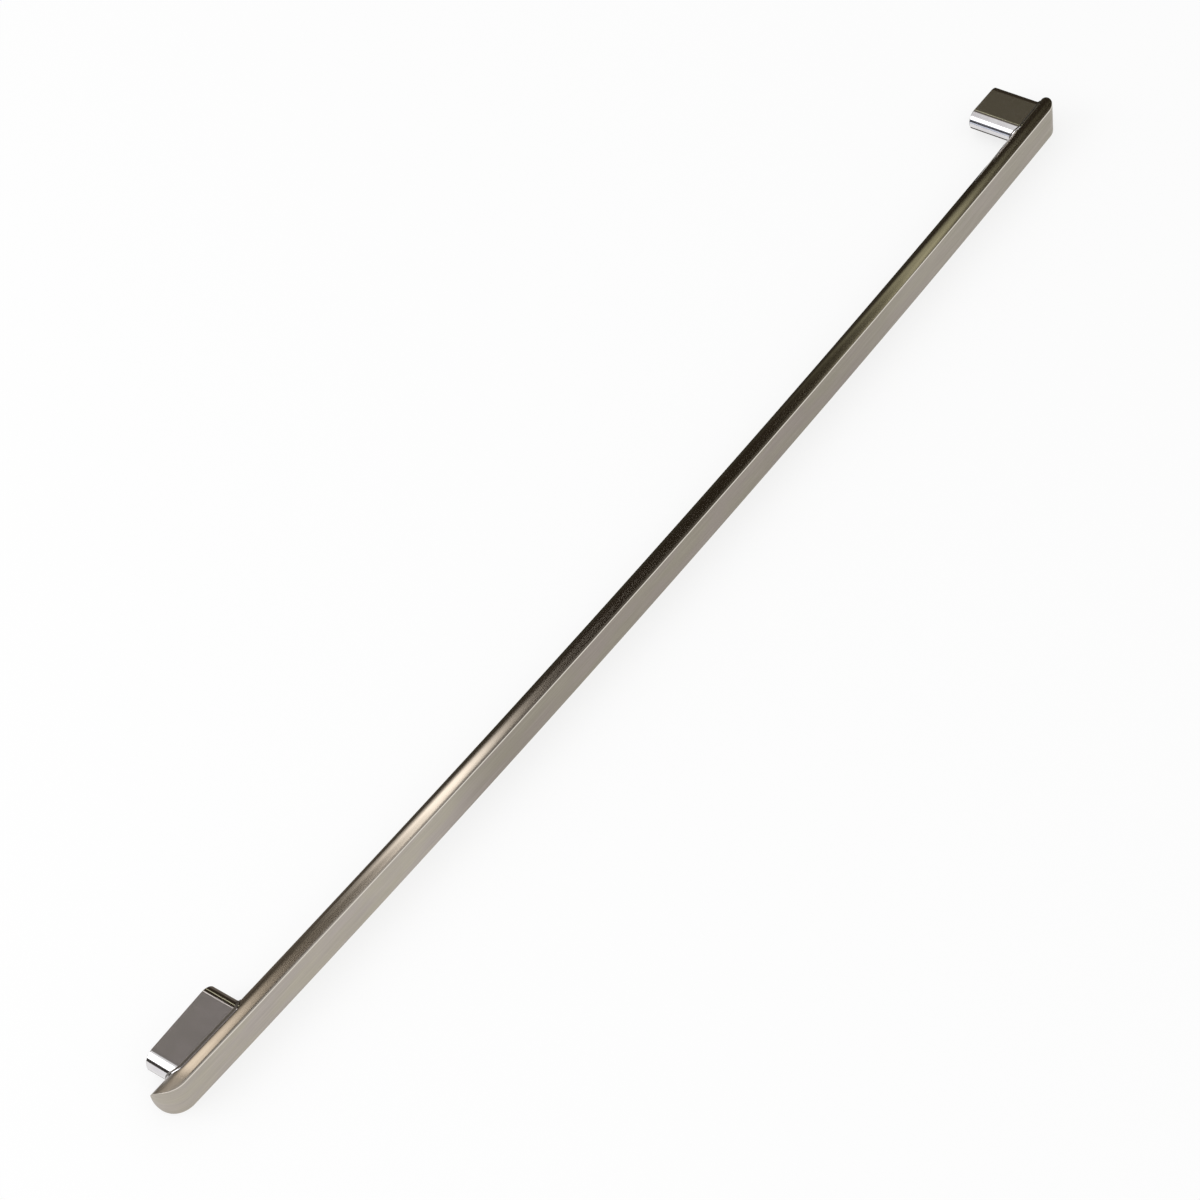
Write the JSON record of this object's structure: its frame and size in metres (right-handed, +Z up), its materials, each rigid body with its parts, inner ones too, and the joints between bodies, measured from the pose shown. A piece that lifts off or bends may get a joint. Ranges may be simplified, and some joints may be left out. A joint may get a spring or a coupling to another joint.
{
  "type": "refrigerator door handle",
  "caption": "Long bowed grip bar with a flat brushed face and a half-round back, on a wide short post and a narrow longer post that lock on door studs.",
  "frame": {"origin": "middle of the wide post's foot, at the mouth of its stud bore, on the door face", "axes": "X along the door face from the wide post to the narrow post, Y out of the feet into the door, Z up with the handle lying on its side"},
  "size_m": [0.7994, 0.0441, 0.02],
  "materials": {
    "brushed_bar": "fine lengthwise brushing on the face, satin on the back, stainless tone",
    "polished_post": "polished chrome plate over a casting",
    "screw_steel": "plain zinc-plated steel"
  },
  "bodies": {
    "root": {"grip_bar": "brushed_bar", "wide_post": "polished_post", "narrow_post": "polished_post", "wide_post_bar_screws": "screw_steel", "narrow_post_bar_screws": "screw_steel", "wide_post_set_screw": "screw_steel", "narrow_post_set_screw": "screw_steel"}
  },
  "joints": []
}
